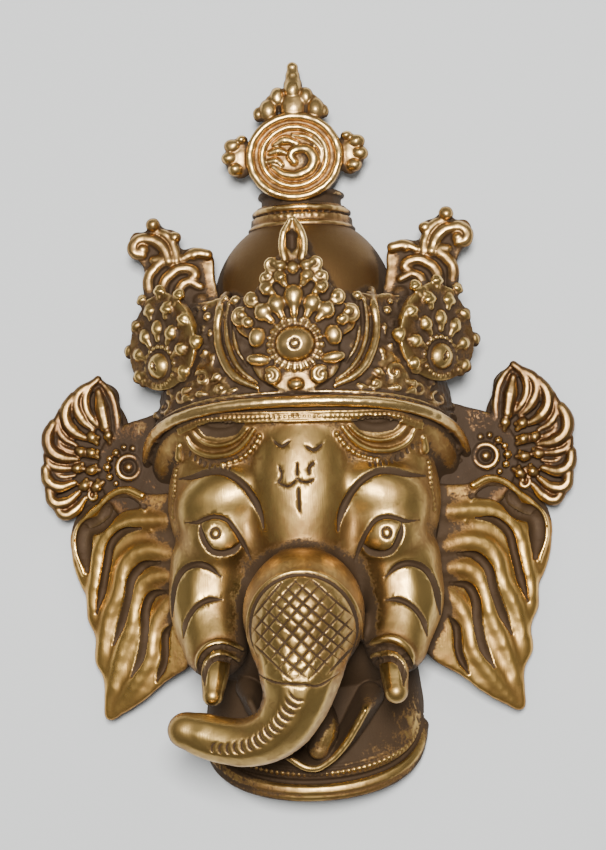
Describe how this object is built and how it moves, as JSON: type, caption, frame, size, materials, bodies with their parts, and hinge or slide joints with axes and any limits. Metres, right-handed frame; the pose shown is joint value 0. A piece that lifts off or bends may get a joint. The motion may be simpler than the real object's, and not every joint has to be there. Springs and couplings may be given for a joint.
{
  "type": "elephant-headed wall mask",
  "caption": "Hollow cast brass mask of an elephant-headed figure with trunk, tusks, fluted ears and a leaf crown with a disc finial, open behind.",
  "frame": {"origin": "on the surface the mask lies on, under the middle of its bounding box", "axes": "+X to the right of someone looking at the face, +Y towards the crown, +Z out of the face"},
  "size_m": [0.1586, 0.2173, 0.0658],
  "materials": {
    "brass": "cast, rubbed bright on the high places, dark brown in the hollows"
  },
  "bodies": {
    "root": {"ganesha_mask": "brass"}
  },
  "joints": []
}
